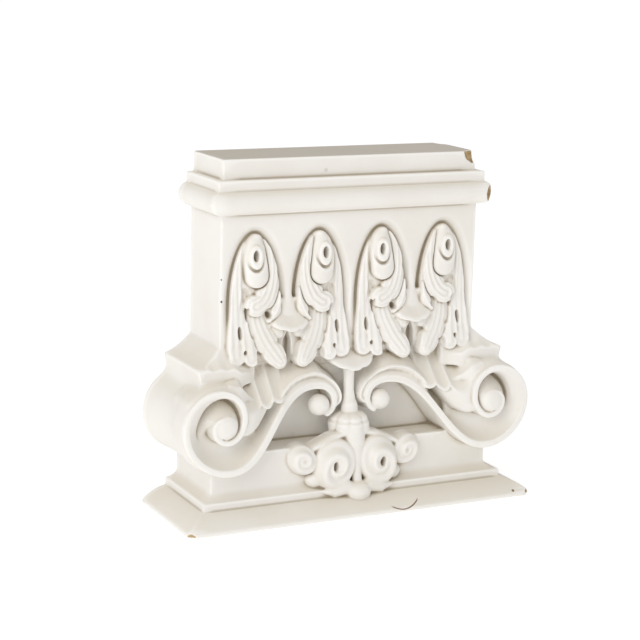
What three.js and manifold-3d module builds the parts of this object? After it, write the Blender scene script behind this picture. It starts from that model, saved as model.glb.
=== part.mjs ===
// Pilaster capital cast in plaster in one piece, standing upside down on its abacus.
// Millimetres, +Z up. X runs across the front, the front looks along -Y and the back is flat.
// The origin is the middle of the underside. The ornament is the same on both sides of x = 0.
// Places on the front are given as x, out and z, where out is the distance in front of the wall.

import * as THREE from "three";
import { mergeVertices } from "three/addons/utils/BufferGeometryUtils.js";
import Module from "manifold-3d";

const wasm = await Module();
wasm.setup();

// Wall: the plain block between the mouldings
const WALL_WIDTH = 286.2;
const WALL_DEPTH = 79.4;
const WALL_HEIGHT = 237;

// Abacus below the wall, from the floor up
const EDGE_HEIGHT = 2.6;
const BEVEL_HEIGHT = 14;
const BEVEL_SWELL = 2.2;
const FILLET_HEIGHT = 7.8;
const COVE_HEIGHT = 8.6;
const DIE_HEIGHT = 36;
const EDGE_OUT = 51.8;
const FILLET_OUT = 25.8;
const DIE_OUT = 13.5;

// Neck mouldings above the wall
const TORUS_HEIGHT = 23.8;
const TORUS_OUT = 14.3;
const STEP_HEIGHT = 10.1;
const STEP_OUT = 5.4;
const BLOCK_HEIGHT = 20.1;
const BLOCK_INSET = 2.3;

// Bell behind the scrolls
const BELL_RECESS = 19;
const BELL_HALF = 128;
const BELL_RISE = 71;
const LEAF_BACK_RISE = 91;

// Leaves: one bay is the half distance between the axes of neighbouring leaves
const BAY = 35;
const LEAF_FOOT_RISE = 76;
const NICHE_TOP_GAP = 15;
const NICHE_HALF = 31.3;
const NICHE_ARCH = 76;
const NICHE_WIDTH = 5.4;
const NICHE_DEPTH = 8;
const EYE_DEPTH = 9;

// Scrolls
const BIG_RADIUS = 55.2;
const BIG_X = 152.1;
const BIG_RISE = 39.2;
const BIG_OUT = 36;
const SMALL_RADIUS = 13.6;
const SMALL_X = 34.2;
const SMALL_RISE = 39.4;
const SMALL_OUT = 8;
const COIL_RATIO = 0.759;
const RIM_WIDTH = 7;
const CHANNEL_DEPTH = 12;
const EYE_RADIUS = 11;
const BALL_RADIUS = 10.2;

// Returns of the corner leaf and of the scroll along the sides
const LIP_OUT = 28.4;
const LIP_FRONT = 16;
const LIP_RISE = 87.5;
const LIP_SLOPE = 18;
const LIP_FACE = 18;
const BOLSTER_RADIUS = 44.2;
const BOLSTER_X = 150.6;
const BOLSTER_RISE = 27.6;

// Rosette and bud on the abacus
const CURL_X = 25;
const CURL_RADIUS = 23;
const CURL_OUT = 34;
const PETAL_X = 59;
const PETAL_RADIUS = 15.5;
const PETAL_OUT = 26;
const ROSETTE_DROP = 21;
const BUD_RADIUS = 19;
const BUD_HEIGHT = 27;

// Fineness of the rounded forms
const ARC_STEPS = 5;
const COIL_STEPS = 5;
const LOBE_STEPS = 4;

const WALL_HALF = WALL_WIDTH / 2;
const BACK_Y = (WALL_DEPTH + EDGE_OUT) / 2;
const WALL_Y = BACK_Y - WALL_DEPTH;
const BEVEL_Z = EDGE_HEIGHT + BEVEL_HEIGHT;
const FILLET_Z = BEVEL_Z + FILLET_HEIGHT;
const COVE_Z = FILLET_Z + COVE_HEIGHT;
const LEDGE_Z = COVE_Z + DIE_HEIGHT;
const WALL_Z = LEDGE_Z + WALL_HEIGHT;
const TORUS_Z = WALL_Z + TORUS_HEIGHT;
const STEP_Z = TORUS_Z + STEP_HEIGHT;
const TOP_Z = STEP_Z + BLOCK_HEIGHT;
const LEAF_FOOT_Z = LEDGE_Z + LEAF_FOOT_RISE;
const NICHE_TOP_Z = WALL_Z - NICHE_TOP_GAP;

// The lobes are drawn on a bay of 35 and a leaf height of 146, and stretch with both.
const DRAWN_BAY = 35;
const DRAWN_LEAF = 146;
const LEAF_STRETCH = (NICHE_TOP_Z - LEAF_FOOT_Z) / DRAWN_LEAF;
const BAY_STRETCH = BAY / DRAWN_BAY;

function at(x, out, z) {
  return new THREE.Vector3(x, WALL_Y - out, z);
}

function ease(t) {
  return t * t * (3 - 2 * t);
}

// Solids from closed meshes
function toSolid(geometry) {
  const bare = geometry.clone();
  bare.deleteAttribute("normal");
  bare.deleteAttribute("uv");
  const merged = mergeVertices(bare, 1e-4);
  const vertProperties = new Float32Array(merged.attributes.position.array);
  const triVerts = new Uint32Array(merged.index.array);
  return new wasm.Manifold(new wasm.Mesh({ numProp: 3, vertProperties, triVerts }));
}

function facingOut(points, faces) {
  let volume = 0;
  for (let i = 0; i < faces.length; i += 3) {
    const [a, b, c] = [points[faces[i]], points[faces[i + 1]], points[faces[i + 2]]];
    volume += a.dot(b.clone().cross(c));
  }
  return volume > 0 ? faces : faces.reverse();
}

// Skin over rings with equal numbers of points, closed at both ends by a fan
function skin(rings) {
  const sides = rings[0].length;
  const points = rings.flat();
  const faces = [];
  for (let r = 0; r + 1 < rings.length; r++) {
    for (let s = 0; s < sides; s++) {
      const a = r * sides + s;
      const b = r * sides + ((s + 1) % sides);
      faces.push(a, b, b + sides, a, b + sides, a + sides);
    }
  }
  for (const first of [true, false]) {
    const ring = first ? rings[0] : rings.at(-1);
    const hub = ring.reduce((sum, p) => sum.add(p), new THREE.Vector3()).divideScalar(sides);
    const base = first ? 0 : (rings.length - 1) * sides;
    const centre = points.push(hub) - 1;
    for (let s = 0; s < sides; s++) {
      const a = base + s;
      const b = base + ((s + 1) % sides);
      if (first) faces.push(b, a, centre);
      else faces.push(a, b, centre);
    }
  }
  const geometry = new THREE.BufferGeometry().setFromPoints(points);
  geometry.setIndex(facingOut(points, faces));
  return toSolid(geometry);
}

function join(solids) {
  return solids.reduce((whole, solid) => whole.add(solid));
}

function ball(x, out, z, across, deep, high, turns = 12) {
  const geometry = new THREE.SphereGeometry(1, turns, Math.round(turns * 0.6));
  geometry.rotateX(Math.PI / 2);
  geometry.scale(across, deep, high);
  const centre = at(x, out, z);
  geometry.translate(centre.x, centre.y, centre.z);
  return toSolid(geometry);
}

// Mouldings that return along the sides: each level is one rectangle up to the flat back
function mouldedBlock(profile) {
  const level = ([out, z]) => {
    const half = WALL_HALF + out;
    return [at(-half, out, z), at(half, out, z), new THREE.Vector3(half, BACK_Y, z),
      new THREE.Vector3(-half, BACK_Y, z)];
  };
  return skin(profile.map(level));
}

function abacus() {
  const profile = [[EDGE_OUT, 0]];
  for (let i = 0; i <= ARC_STEPS; i++) {
    const t = i / ARC_STEPS;
    const swell = 4 * t * (1 - t) * BEVEL_SWELL;
    profile.push([
      EDGE_OUT + (FILLET_OUT - EDGE_OUT) * t + swell * 0.5,
      EDGE_HEIGHT + BEVEL_HEIGHT * t + swell,
    ]);
  }
  for (let i = 0; i <= ARC_STEPS; i++) {
    const turn = (i / ARC_STEPS) * Math.PI / 2;
    profile.push([
      DIE_OUT + (FILLET_OUT - DIE_OUT) * (1 - Math.sin(turn)),
      FILLET_Z + COVE_HEIGHT * (1 - Math.cos(turn)),
    ]);
  }
  profile.push([DIE_OUT, LEDGE_Z]);
  return mouldedBlock(profile);
}

function shaft() {
  const radius = TORUS_HEIGHT / 2;
  const profile = [[0, COVE_Z], [0, WALL_Z - 0.2]];
  const stepAngle = Math.acos((STEP_OUT - TORUS_OUT + radius) / radius);
  const turns = ARC_STEPS * 2;
  for (let i = 0; i <= turns; i++) {
    const turn = -Math.PI / 2 + (i / turns) * (Math.PI / 2 + stepAngle);
    profile.push([TORUS_OUT - radius + radius * Math.cos(turn), WALL_Z + radius * (1 + Math.sin(turn))]);
  }
  profile.push([STEP_OUT, STEP_Z - 0.6], [-BLOCK_INSET, STEP_Z], [-BLOCK_INSET, TOP_Z]);
  return mouldedBlock(profile);
}

// Space in front of the bell, under the leaves
function bellSpace() {
  const side = (x) => [
    at(x, -BELL_RECESS, LEDGE_Z),
    at(x, 1, LEDGE_Z),
    at(x, 1, LEDGE_Z + LEAF_BACK_RISE + 1),
    at(x, -BELL_RECESS * 0.4, LEDGE_Z + (BELL_RISE + LEAF_BACK_RISE) / 2),
    at(x, -BELL_RECESS, LEDGE_Z + BELL_RISE),
  ];
  return skin([side(-BELL_HALF), side(BELL_HALF)]);
}

// Groove around the arched top of a niche. It starts low beside the upper leaf and ends beside the
// lower leaf, where the arch springs.
function nicheGroove(centreX, side, upperSide) {
  const springZ = NICHE_TOP_Z - NICHE_ARCH;
  const lowest = -0.5;
  const steps = 11;
  const rings = [];
  for (let i = 0; i <= steps; i++) {
    const t = i / steps;
    const turn = lowest + (Math.PI - lowest) * t;
    const fade = Math.min(1, t * 4 + 0.1, (1 - t) * 4 + 0.1);
    const depth = NICHE_DEPTH * fade;
    const width = NICHE_WIDTH * (0.4 + 0.6 * fade);
    const reach = (inset) => [
      side * (centreX + upperSide * (NICHE_HALF - inset) * Math.cos(turn)),
      springZ + (NICHE_ARCH - inset) * Math.sin(turn),
    ];
    const [ox, oz] = reach(0);
    const [ix, iz] = reach(width);
    rings.push([at(ox, 2, oz), at(ix, 2, iz), at(ix, -depth * 0.6, iz), at(ox, -depth, oz)]);
  }
  return skin(rings);
}

// A lobe of a leaf: a bent tongue with a hollow along its middle, rounded at its end.
// from, bend and to are x, out and z of the ends and the control point of its path.
function lobe({ from, bend, to, half, thick, blunt = 0.55, start = 0.5 }) {
  const path = new THREE.QuadraticBezierCurve3(at(...from), at(...bend), at(...to));
  const front = new THREE.Vector3(0, -1, 0);
  const section = [[-1, 0], [-0.5, 0.9], [0, 0.55], [0.5, 0.9], [1, 0], [1, -2], [-1, -2]];
  const rings = [];
  for (let i = 0; i <= LOBE_STEPS; i++) {
    const t = Math.pow(i / LOBE_STEPS, 0.8);
    const along = path.getTangent(t);
    const across = along.clone().cross(front).normalize();
    const up = across.clone().cross(along).normalize();
    const grow = start + (1 - start) * Math.min(1, t * 2);
    const tip = Math.sqrt(Math.max(0.1, 1 - Math.pow(Math.max(0, t - blunt) / (1.02 - blunt), 2)));
    const centre = path.getPoint(t);
    rings.push(section.map(([a, b]) => centre.clone()
      .addScaledVector(across, a * half * grow * tip)
      .addScaledVector(up, b * thick * grow * Math.sqrt(tip))));
  }
  return skin(rings);
}

// Lobes of one half of a lower leaf. u runs from the axis of the leaf to its side.
function lowerHalfLeaf(place) {
  return [
    { from: [33, -3, 284], bend: [38, 4, 264], to: [36, 2, 233], half: 13, thick: 4.8, blunt: 0.85 },
    { from: [31, -4, 284], bend: [-2, 5, 238], to: [36, 3.5, 212], half: 9.5, thick: 5, blunt: 0.8, start: 0.3 },
    { from: [10, -2, 250], bend: [6, 3, 216], to: [24, 1.5, 199], half: 5, thick: 4.5, blunt: 0.4 },
  ].map((shape) => lobe(place(shape)));
}

// Lobes of one half of an upper leaf. u runs from the axis of the leaf to its side.
function upperHalfLeaf(place) {
  return [
    { from: [20, -5, 284], bend: [4, 1, 232], to: [15, 4, 172], half: 7, thick: 4, blunt: 0.95 },
    { from: [22, -1, 208], bend: [20, 5, 176], to: [28, 9, 157], half: 9, thick: 5, blunt: 0.7 },
    { from: [36, -3, 216], bend: [35, 7, 176], to: [61, 15, 150], half: 11, thick: 6.5, blunt: 0.7 },
    { from: [42, -3, 206], bend: [48, 2, 196], to: [58, 4, 184], half: 7, thick: 4.5, blunt: 0.5 },
    { from: [7, 0, 196], bend: [8, 5, 168], to: [13, 13, 151], half: 9.5, thick: 6, blunt: 0.7 },
  ].map((shape) => lobe(place(shape)));
}

// Point of a leaf's drawing, u from its axis, as x, out and z on the front
function leafPoint(axisX, direction, [u, out, z]) {
  return [axisX + direction * u * BAY_STRETCH, out, LEAF_FOOT_Z + (z - (DRAWN_LEAF - 1)) * LEAF_STRETCH];
}

// Turns a lobe drawn from a leaf's axis into its place on the front
function leafPlace(axisX, direction) {
  return (shape) => ({
    ...shape,
    from: leafPoint(axisX, direction, shape.from),
    bend: leafPoint(axisX, direction, shape.bend),
    to: leafPoint(axisX, direction, shape.to),
    half: shape.half * BAY_STRETCH,
  });
}

// Drilled hole between the lobes of a leaf
function drill(axisX, direction, u, z, across, high) {
  const [x, out, holeZ] = leafPoint(axisX, direction, [u, 4, z]);
  return ball(x, out, holeZ, across, EYE_DEPTH, high, 5);
}

// Curled tip of a leaf: a shallow cup that turns forward
function leafTip(axisX, z, half, out) {
  const cup = ball(axisX, 0, z, half, out, half * 0.42, 10);
  const hollow = ball(axisX, out * 0.55, z + half * 0.5, half * 0.72, out * 0.42, half * 0.36, 8);
  const neck = lobe({
    from: [axisX, -3, z + half * 2],
    bend: [axisX, 3, z + half * 0.9],
    to: [axisX, out * 0.35, z],
    half: half * 0.42,
    thick: 4,
    blunt: 0.9,
    start: 0.45,
  });
  return cup.subtract(hollow).add(neck);
}

// Path of the scroll's rim on one side: small coil, bent band, big coil.
// Each stop gives x, z, out and the half width of the rim.
function rimPath() {
  const quarter = Math.PI / 2;
  const slope = -Math.log(COIL_RATIO) / quarter;
  const half = RIM_WIDTH / 2;
  const smallZ = LEDGE_Z + SMALL_RISE;
  const bigZ = LEDGE_Z + BIG_RISE;
  const stops = [];
  for (let i = 0; i < COIL_STEPS + 1; i++) {
    const turns = (i / (COIL_STEPS + 1)) * 2;
    const radius = SMALL_RADIUS / Math.pow(COIL_RATIO, turns) - half;
    const angle = -quarter - turns * quarter;
    stops.push([SMALL_X + radius * Math.cos(angle), smallZ + radius * Math.sin(angle), SMALL_OUT,
      half * (0.75 + 0.12 * turns)]);
  }
  const smallTop = SMALL_RADIUS / COIL_RATIO ** 2 - half;
  const start = new THREE.Vector2(SMALL_X, smallZ + smallTop);
  const end = new THREE.Vector2(BIG_X, bigZ - BIG_RADIUS + half);
  const pull = (BIG_X - SMALL_X) / 2;
  const band = new THREE.CubicBezierCurve(
    start,
    new THREE.Vector2(start.x + pull, start.y + pull * slope),
    new THREE.Vector2(end.x - pull * 0.93, end.y - pull * 0.93 * slope),
    end,
  );
  for (let i = 0; i < COIL_STEPS * 2; i++) {
    const t = i / (COIL_STEPS * 2);
    const p = band.getPoint(t);
    stops.push([p.x, p.y, SMALL_OUT + (BIG_OUT - SMALL_OUT) * ease(Math.pow(t, 0.85)), half]);
  }
  const turnsInBig = 5;
  for (let i = 0; i <= COIL_STEPS * turnsInBig; i++) {
    const turns = i / COIL_STEPS;
    const width = half * (1 - 0.09 * turns);
    const radius = BIG_RADIUS * Math.pow(COIL_RATIO, turns) - width;
    const angle = -quarter + turns * quarter;
    stops.push([BIG_X + radius * Math.cos(angle), bigZ + radius * Math.sin(angle), BIG_OUT, width]);
  }
  return stops;
}

function rim(side) {
  const stops = rimPath();
  const rings = stops.map(([x, z, out, width], i) => {
    const before = stops[Math.max(0, i - 1)];
    const after = stops[Math.min(stops.length - 1, i + 1)];
    const run = Math.hypot(after[0] - before[0], after[1] - before[1]);
    const nx = -(after[1] - before[1]) / run;
    const nz = (after[0] - before[0]) / run;
    const back = Math.min(out - CHANNEL_DEPTH * 2, -BELL_RECESS - 1);
    const edge = (w, o) => at(side * (x + nx * w), o, z + nz * w);
    return [edge(-width, back), edge(-width, out), edge(width, out), edge(width, back)];
  });
  return skin(rings);
}

// Hollow band above the rim, from the small coil to the leaf that wraps the big coil
function bandFloor(side) {
  const stops = rimPath().slice(COIL_STEPS - 1, COIL_STEPS * 3 + 2);
  const last = stops.length - 1;
  const rings = stops.map(([x, z, out], i) => {
    const t = i / last;
    const sink = ease(Math.max(0, (t - 0.5) / 0.5)) * 2;
    const rise = 4 + 12 * Math.sin(Math.PI * Math.min(1, t * 0.8)) + 12 * t;
    const lean = 9 * ease(Math.min(1, t * 1.6));
    const [tx, tz] = [x + lean, z + rise];
    const [mx, mz] = [(x + tx) / 2, (z + tz) / 2];
    const deep = -BELL_RECESS - 1;
    return [
      at(side * x, deep, z),
      at(side * x, out - CHANNEL_DEPTH * (0.5 + sink), z),
      at(side * mx, out - CHANNEL_DEPTH * (0.8 + sink), mz),
      at(side * tx, out - 1 - CHANNEL_DEPTH * sink, tz),
      at(side * tx, deep, tz + 3),
    ];
  });
  return skin(rings);
}

// Coil body behind the rim, running back along the side as a bolster
function bolster(side) {
  const steps = 20;
  const centreZ = LEDGE_Z + BOLSTER_RISE;
  const ring = (y, radius) => {
    const points = [];
    for (let i = 0; i < steps; i++) {
      const turn = (i / steps) * Math.PI * 2;
      points.push(new THREE.Vector3(side * (BOLSTER_X + radius * Math.cos(turn)), y, centreZ + radius * Math.sin(turn)));
    }
    return points;
  };
  const frontY = WALL_Y - BIG_OUT + CHANNEL_DEPTH * 2;
  const waistY = (frontY + BACK_Y) / 2;
  return skin([ring(frontY, BOLSTER_RADIUS - 1), ring(waistY, BOLSTER_RADIUS - 1.5), ring(BACK_Y, BOLSTER_RADIUS)]);
}

// Cone that rises to the eye of the big coil
function bigEye(side) {
  const centreZ = LEDGE_Z + BIG_RISE - 4;
  const height = CHANNEL_DEPTH * 2 + 3;
  const profile = [
    [0, 0], [EYE_RADIUS * 1.75, 0], [EYE_RADIUS * 1.15, height * 0.55], [EYE_RADIUS, height], [0, height + 1.5],
  ].map(([r, h]) => new THREE.Vector2(r, h));
  const geometry = new THREE.LatheGeometry(profile, 14);
  geometry.rotateX(Math.PI / 2);
  const place = at(side * (BIG_X - 2.6), BIG_OUT - CHANNEL_DEPTH * 2, centreZ);
  geometry.translate(place.x, place.y, place.z);
  return toSolid(geometry);
}

// Body between the channel and the calyx leaf, flowing into the inner turn of the big coil
function coilShoulder(side) {
  const bigZ = LEDGE_Z + BIG_RISE;
  const outline = [[-58, 9], [-46, -8], [-34, -19], [-20, -24], [-4, -21], [-13, -14], [-21, -4], [-23, 9], [-18, 22],
    [-30, 34], [-46, 32]];
  const middle = [-36, 6];
  const ring = (out, shrink) => outline.map(([x, z]) => at(
    side * (BIG_X + middle[0] + (x - middle[0]) * shrink),
    out,
    bigZ + middle[1] + (z - middle[1]) * shrink,
  ));
  const crest = BIG_OUT - CHANNEL_DEPTH * 0.6;
  return skin([ring(-BELL_RECESS - 1, 1), ring(crest - 5, 1), ring(crest, 0.7)]);
}

// Lip of the corner leaf, returning along the side
function lip(side) {
  const inner = WALL_HALF - 25;
  const lipZ = LEDGE_Z + LIP_RISE;
  const scallops = 3;
  const level = (reach, z, wave) => {
    const half = WALL_HALF + LIP_OUT * reach;
    const points = [new THREE.Vector3(side * inner, BACK_Y, z), new THREE.Vector3(side * half, BACK_Y, z)];
    for (let i = 0; i <= scallops * 2; i++) {
      const t = i / (scallops * 2);
      const bump = i % 2 ? wave : 0;
      points.push(at(side * (half + (inner - half) * t), LIP_FRONT * reach + bump, z));
    }
    return points;
  };
  return skin([
    level(0.35, lipZ - LIP_FACE - 6, 0),
    level(0.86, lipZ - LIP_FACE, 0),
    level(1, lipZ - 3, 2.5),
    level(0.98, lipZ, 2),
    level(0, lipZ + LIP_SLOPE, 0),
  ]);
}

// Calyx leaf on top of the band
function calyx(side) {
  const bigZ = LEDGE_Z + BIG_RISE;
  const tips = [[-67, 11, 20], [-53, 9, 23], [-39, 8, 24]];
  return join(tips.map(([x, z, out]) => lobe({
    from: [side * (BIG_X + x * 0.9), -4, bigZ + 40],
    bend: [side * (BIG_X + x * 0.95), out * 0.55, bigZ + 26],
    to: [side * (BIG_X + x), out, bigZ + z],
    half: 9,
    thick: 5,
    blunt: 0.7,
    start: 0.8,
  })));
}

// Stem and bud between the scrolls
function stemAndBud() {
  const smallZ = LEDGE_Z + SMALL_RISE;
  const profile = [[0, -10], [7.5, -10], [7, -6], [4.6, 12], [5, 40], [0, 40]]
    .map(([r, h]) => new THREE.Vector2(r, h));
  const stem = new THREE.LatheGeometry(profile, 10);
  stem.rotateX(Math.PI / 2);
  const place = at(0, 0, smallZ);
  stem.translate(place.x, place.y, place.z);
  const beads = [];
  const ribs = 6;
  for (let i = 0; i < ribs; i++) {
    const turn = ((i + 0.5) / ribs) * Math.PI;
    const across = BUD_RADIUS * 0.66;
    beads.push(ball(-across * Math.cos(turn), across * Math.sin(turn), LEDGE_Z + BUD_HEIGHT * 0.5, 6.4, 6.4,
      BUD_HEIGHT * 0.46, 6));
  }
  const core = ball(0, 0, LEDGE_Z + BUD_HEIGHT * 0.52, BUD_RADIUS * 0.85, BUD_RADIUS * 0.85, BUD_HEIGHT * 0.62, 8);
  return join([toSolid(stem), core, ...beads]);
}

function rosetteHalf(side) {
  const z = LEDGE_Z - ROSETTE_DROP;
  const curlDeep = CURL_OUT - DIE_OUT;
  const curl = ball(side * CURL_X, DIE_OUT, z, CURL_RADIUS, curlDeep, CURL_RADIUS + 3, 10);
  const groove = ball(side * (CURL_X + 1), CURL_OUT + 1, z + 1, CURL_RADIUS * 0.62, 6.5, CURL_RADIUS * 0.78, 8);
  const heart = ball(side * (CURL_X + 1), CURL_OUT - 9, z + 1, CURL_RADIUS * 0.46, 9, CURL_RADIUS * 0.58, 8);
  const eye = ball(side * (CURL_X + 1), CURL_OUT, z + 2, 3.2, EYE_DEPTH, 5.2, 5);
  const petal = ball(side * PETAL_X, DIE_OUT, z + 8, PETAL_RADIUS, PETAL_OUT - DIE_OUT, PETAL_RADIUS, 8);
  const point = lobe({
    from: [side * 18, DIE_OUT + 6, z - 18],
    bend: [side * 30, DIE_OUT + 16, z - 26],
    to: [side * 40, DIE_OUT + 14, z - 24],
    half: 7,
    thick: 7,
    blunt: 0.2,
  });
  const ribbon = lobe({
    from: [side * 6, DIE_OUT, z + 29],
    bend: [side * 30, DIE_OUT + 8, z + 28],
    to: [side * 52, DIE_OUT + 8, z + 17],
    half: 4.5,
    thick: 4.5,
    blunt: 0.4,
  });
  return curl.subtract(groove).add(heart).subtract(eye).add(petal).add(point).add(ribbon);
}

function rosette() {
  const z = LEDGE_Z - ROSETTE_DROP;
  const stalk = lobe({
    from: [0, DIE_OUT, z + 30],
    bend: [0, CURL_OUT, z + 10],
    to: [0, CURL_OUT, z - 24],
    half: 6,
    thick: 6,
    blunt: 0.9,
  });
  const tip = ball(0, CURL_OUT - 4, z - 29, 10, 9, 9.5, 8);
  const backing = ball(0, DIE_OUT, z - 24, 26, 14, 12, 6);
  return join([rosetteHalf(-1), rosetteHalf(1), stalk, tip, backing]);
}

// Chips that the cast has lost
function chips() {
  const edge = WALL_HALF - BLOCK_INSET;
  const chip = (x, y, z, size, stretch) => {
    const geometry = new THREE.IcosahedronGeometry(size, 0);
    geometry.scale(...stretch);
    geometry.translate(x, y, z);
    return toSolid(geometry);
  };
  const frontY = WALL_Y + BLOCK_INSET;
  return join([
    chip(edge + 3, BACK_Y - 4, TOP_Z + 3, 11, [1.1, 1.6, 0.75]),
    chip(edge + 3.5, frontY - 3.5, TOP_Z - 2, 9, [1, 1, 1.3]),
    chip(WALL_HALF + TORUS_OUT + 2.5, WALL_Y - TORUS_OUT - 2.5, WALL_Z + TORUS_HEIGHT * 0.5, 7, [1, 1, 1.6]),
    chip(-WALL_HALF - EDGE_OUT - 1, WALL_Y - EDGE_OUT - 1, 1, 5, [1, 1, 0.8]),
    chip(WALL_HALF + EDGE_OUT + 1, WALL_Y - EDGE_OUT - 1, 2, 5, [1, 1, 1]),
  ]);
}

function capital() {
  const solids = [];
  const cuts = [];
  const holes = [];
  for (const side of [-1, 1]) {
    for (const bay of [1, 3]) {
      cuts.push(nicheGroove(bay * BAY, side, bay === 1 ? -1 : 1));
      const lowerAxis = side * BAY * 2;
      const towards = bay === 1 ? -side : side;
      solids.push(...lowerHalfLeaf(leafPlace(lowerAxis, towards)));
      const upperAxis = bay === 1 ? 0 : side * BAY * 4;
      solids.push(...upperHalfLeaf(leafPlace(upperAxis, -towards)));
      holes.push(drill(lowerAxis, towards, 37.5, 265, 3.4, 6), drill(upperAxis, -towards, 16.7, 189, 2.8, 7.5));
    }
    solids.push(leafTip(side * BAY * 2, LEAF_FOOT_Z + 53 * LEAF_STRETCH, 22, 14));
    solids.push(rim(side), bandFloor(side), bolster(side), bigEye(side), coilShoulder(side), lip(side), calyx(side));
    solids.push(ball(side * SMALL_X, 1.5, LEDGE_Z + SMALL_RISE - 1, BALL_RADIUS, BALL_RADIUS, BALL_RADIUS, 10));
  }
  solids.push(leafTip(0, LEAF_FOOT_Z + 8 * LEAF_STRETCH, 24, 17), stemAndBud(), rosette());
  const wall = shaft().subtract(join(cuts)).subtract(bellSpace());
  return wall.add(abacus()).add(join(solids)).subtract(join(holes)).subtract(chips());
}

function toMesh(solid, name, material) {
  const { vertProperties, triVerts } = solid.getMesh();
  const geometry = new THREE.BufferGeometry();
  geometry.setAttribute("position", new THREE.BufferAttribute(vertProperties, 3));
  geometry.setIndex(new THREE.BufferAttribute(triVerts, 1));
  geometry.computeVertexNormals();
  const mesh = new THREE.Mesh(geometry, material);
  mesh.name = name;
  return mesh;
}

const paintedPlaster = new THREE.MeshStandardMaterial({ color: 0xebe6dc, roughness: 0.7, metalness: 0 });

const model = new THREE.Group();
model.add(toMesh(capital(), "pilaster_capital", paintedPlaster));

export default model;
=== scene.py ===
"""Pilaster capital in painted plaster, standing upside down on its abacus, in a plain studio.

The cast is one piece. Its surface is taken from a signed distance field on a grid, so the carved forms
flow into each other as they do in a cast. Lengths are in millimetres until the mesh is made. Places on
the front are x, out and z, where out is the distance in front of the wall. The ornament is the same on
both sides of x = 0, so the field is worked out for one half and mirrored.
"""
import math

import bmesh
import bpy
import numpy as np
from mathutils import Matrix, Vector


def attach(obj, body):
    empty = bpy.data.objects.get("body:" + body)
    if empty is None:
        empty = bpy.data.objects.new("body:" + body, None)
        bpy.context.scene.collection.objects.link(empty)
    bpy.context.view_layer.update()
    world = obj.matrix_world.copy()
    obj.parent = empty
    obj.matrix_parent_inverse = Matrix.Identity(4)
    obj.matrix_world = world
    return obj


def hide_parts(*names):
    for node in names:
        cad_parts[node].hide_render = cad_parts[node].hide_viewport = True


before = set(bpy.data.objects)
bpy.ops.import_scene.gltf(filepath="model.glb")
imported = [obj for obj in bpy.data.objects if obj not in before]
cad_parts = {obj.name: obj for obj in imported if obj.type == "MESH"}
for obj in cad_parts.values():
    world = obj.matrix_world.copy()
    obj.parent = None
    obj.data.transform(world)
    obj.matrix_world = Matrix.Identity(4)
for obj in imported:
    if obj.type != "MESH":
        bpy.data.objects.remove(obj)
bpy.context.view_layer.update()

# Wall, abacus and neck mouldings: heights end in Z, distances in front of the wall in OUT
WALL_HALF = 143.1
WALL_Y = -13.8
BACK_OUT = -79.4
LEDGE_Z = 69.0
WALL_Z = 306.0
TOP_Z = 360.0
DIE_OUT = 13.5
BELL_OUT = -19.0
BELL_HALF = 128.0
ABACUS_OUT = 51.8
ABACUS_EDGE = 2.6
COVE_OUT = 12.3
COVE_Z = 24.4
COVE_HIGH = 8.6
TORUS_OUT = 14.3
TORUS_RADIUS = 11.9
STRIP_OUT = 5.4
STRIP_Z = 339.9
BLOCK_OUT = -2.3

# Where the profile closes, well behind everything
INSIDE = -140.0

# Leaves: the middles of the niches, and the axes that the leaves of the two rows are folded about
NICHES = (35.0, 106.0)
LOWER_AXIS = 70.0
UPPER_AXES = ((0.0, 1), (140.0, -1))
NICHE_HALF = 31.3
NICHE_TOP = 291.0
NICHE_ARCH = 76.0
CHANNEL_DEEP = 7.4
LEAF_GAP = 5.2

# Scrolls
COIL_RATIO = 0.759
BIG_CENTRE = (152.1, 108.2)
EYE_CENTRE = (150.4, 103.4)
EYE_RADIUS = 11.2
BIG_RADIUS = 55.2
BIG_OUT = 36.0
SMALL_CENTRE = (34.2, 108.4)
SMALL_RADIUS = 13.6
SMALL_OUT = 8.0
RIM_WIDTH = 7.0
BOLSTER_CENTRE = (150.6, 96.6)
BOLSTER_RADIUS = 44.2

# Bud and rosette
BUD_Z = 84.5
BUD_HALF = 15.5
BUD_RADIUS = 22.0
ROSETTE_Z = LEDGE_Z - 21.0

# Mesh: grid step, triangles after thinning, and the longest edge in metres that is left on the flats
STEP = 0.85
BACK_STEP = 2.6
MOST_TRIANGLES = 130000
LONGEST_EDGE = 0.012
SHARP_ANGLE = 48

# Reach of the two means that find narrow and wide hollows, and the value of the air beyond the grid
HOLLOW_REACH = 3.0
DEEP_REACH = 8.5
AIR = 1.7

# Paint, dust and dirt with painted shade on up-facing faces, the top face and in the hollows, darker painted
# shade in undercuts, a painted highlight on ridges, and bare plaster
PAINT = ((0.85, 0.825, 0.785, 1.0), (0.81, 0.78, 0.725, 1.0))
PAINTED_RIDGE_HIGHLIGHT = (0.92, 0.90, 0.865, 1.0)
DUST_AND_SHADE = (0.68, 0.60, 0.46, 1.0)
TOP_DIRT_AND_SHADE = (0.44, 0.385, 0.315, 1.0)
WIDE_HOLLOW_DIRT_AND_SHADE = (0.62, 0.54, 0.40, 1.0)
NARROW_HOLLOW_DIRT_AND_SHADE = (0.44, 0.36, 0.24, 1.0)
UNDERCUT_SHADE = (0.20, 0.145, 0.085, 1.0)
BARE = ((0.28, 0.17, 0.06, 1.0), (0.52, 0.37, 0.17, 1.0))

# Pinholes and spots in metres: x, y, z, radius, colour
MARKS = (
    ((-0.1422, -0.0138, 0.2209, 0.0016), (0.10, 0.07, 0.05, 1.0)),
    ((-0.1430, -0.0138, 0.2428, 0.0014), (0.16, 0.12, 0.08, 1.0)),
    ((0.1735, -0.0620, 0.0060, 0.0020), (0.22, 0.12, 0.05, 1.0)),
    ((-0.0307, -0.0115, 0.3460, 0.0026), (0.70, 0.67, 0.62, 1.0)),
)

# Hairline crack on the front bevel in metres: first x, last x, lowest z, rise of its ends
CRACK = (0.027, 0.062, 0.0026, 0.020)
CRACK_COLOUR = (0.20, 0.11, 0.06, 1.0)

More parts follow.
